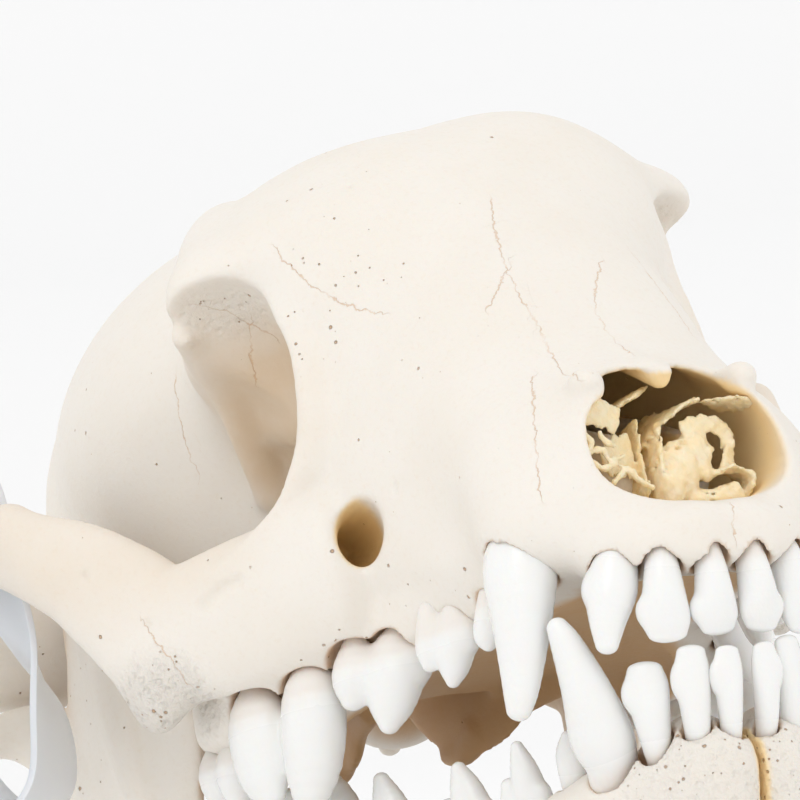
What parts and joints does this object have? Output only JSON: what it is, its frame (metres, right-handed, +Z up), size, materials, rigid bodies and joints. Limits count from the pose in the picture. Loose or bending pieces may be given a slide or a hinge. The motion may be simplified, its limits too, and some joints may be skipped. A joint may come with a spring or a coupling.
{
  "type": "dog skull",
  "caption": "Cleaned skull of a broad, short-muzzled dog with closed jaws, resting on its lower jaw, with a plain plastic tag band round one cheek bone.",
  "frame": {"origin": "middle of the bounding box at table level, under the skull", "axes": "+Y towards the back of the skull, so the nose points to -Y; +X the dog's left; +Z up"},
  "size_m": [0.1524, 0.2045, 0.134],
  "materials": {
    "bone": "matt, dry, cleaned bone",
    "enamel": "smooth, satin tooth enamel",
    "plastic": "smooth moulded plastic"
  },
  "bodies": {
    "root": {"cranium": "bone", "mandible_left": "bone", "mandible_right": "bone", "upper_left_incisor_1": "enamel", "upper_left_incisor_2": "enamel", "upper_left_incisor_3": "enamel", "upper_left_canine": "enamel", "upper_left_premolar_1": "enamel", "upper_left_premolar_2": "enamel", "upper_left_premolar_3": "enamel", "upper_left_premolar_4": "enamel", "upper_left_molar_1": "enamel", "upper_left_molar_2": "enamel", "lower_left_incisor_1": "enamel", "lower_left_incisor_2": "enamel", "lower_left_incisor_3": "enamel", "lower_left_canine": "enamel", "lower_left_premolar_1": "enamel", "lower_left_premolar_2": "enamel", "lower_left_premolar_3": "enamel", "lower_left_premolar_4": "enamel", "lower_left_molar_1": "enamel", "lower_left_molar_2": "enamel", "lower_left_molar_3": "enamel", "upper_right_incisor_1": "enamel", "upper_right_incisor_2": "enamel", "upper_right_incisor_3": "enamel", "upper_right_canine": "enamel", "upper_right_premolar_1": "enamel", "upper_right_premolar_2": "enamel", "upper_right_premolar_3": "enamel", "upper_right_premolar_4": "enamel", "upper_right_molar_1": "enamel", "upper_right_molar_2": "enamel", "lower_right_incisor_1": "enamel", "lower_right_incisor_2": "enamel", "lower_right_incisor_3": "enamel", "lower_right_canine": "enamel", "lower_right_premolar_1": "enamel", "lower_right_premolar_2": "enamel", "lower_right_premolar_3": "enamel", "lower_right_premolar_4": "enamel", "lower_right_molar_1": "enamel", "lower_right_molar_2": "enamel", "lower_right_molar_3": "enamel", "tag_band": "plastic"}
  },
  "joints": []
}
